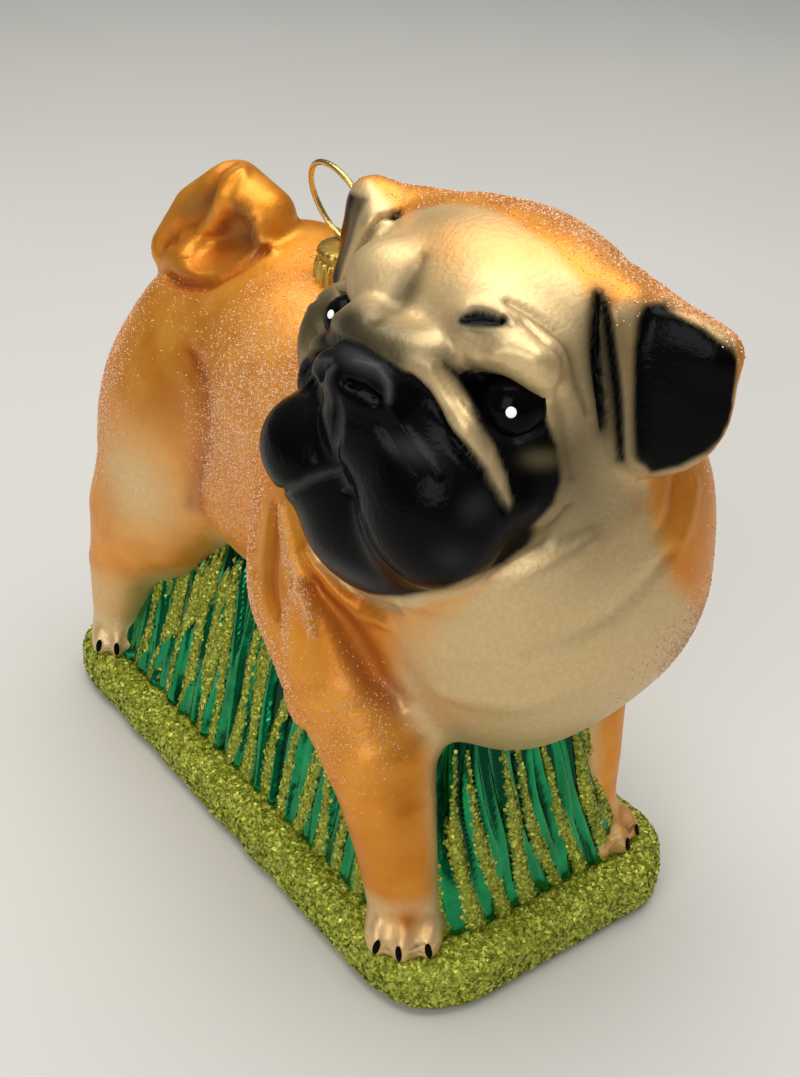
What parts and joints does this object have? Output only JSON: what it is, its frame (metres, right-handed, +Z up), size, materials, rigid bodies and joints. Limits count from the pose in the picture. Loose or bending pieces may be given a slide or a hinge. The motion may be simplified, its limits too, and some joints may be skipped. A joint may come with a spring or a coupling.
{
  "type": "blown glass hanging ornament of a standing pug",
  "caption": "Hollow glass ornament of a pug standing on a block of grass, its head turned to its right, with a metal cap and a wire loop to hang it by.",
  "frame": {"origin": "centre of the base's underside, at the height it stands on", "axes": "+Z up, -Y the way the dog's body faces, +X its left side; the head is turned to face -X"},
  "size_m": [0.0479, 0.0983, 0.0903],
  "materials": {
    "coat_fawn": "silvered glass under satin orange-fawn lacquer, with a dusting of fine glitter",
    "coat_cream": "silvered glass under satin cream-gold lacquer",
    "mask_black": "glass under black lacquer, satin with soft sprayed edges",
    "eye_black": "glossy black lacquer with a white painted dot",
    "grass_green": "silvered glass under glossy transparent green lacquer, with stripes of lime glitter",
    "base_glitter": "coarse lime-gold glitter over the glass",
    "cap_gold": "bright fluted gold-coloured metal",
    "loop_gold": "bright gold-coloured spring wire"
  },
  "bodies": {
    "root": {"head": "coat_cream", "muzzle": "mask_black", "ear_right": "mask_black", "eye_right": "eye_black", "ear_left": "mask_black", "eye_left": "eye_black", "neck_ruff": "coat_fawn", "trunk": "coat_fawn", "tail": "coat_fawn", "leg_front_right": "coat_fawn", "leg_front_left": "coat_fawn", "leg_rear_right": "coat_fawn", "leg_rear_left": "coat_fawn", "paw_front_right": "coat_cream", "paw_front_left": "coat_cream", "paw_rear_right": "coat_cream", "paw_rear_left": "coat_cream", "grass_block": "grass_green", "base": "base_glitter", "cap": "cap_gold", "hanging_loop": "loop_gold"}
  },
  "joints": []
}
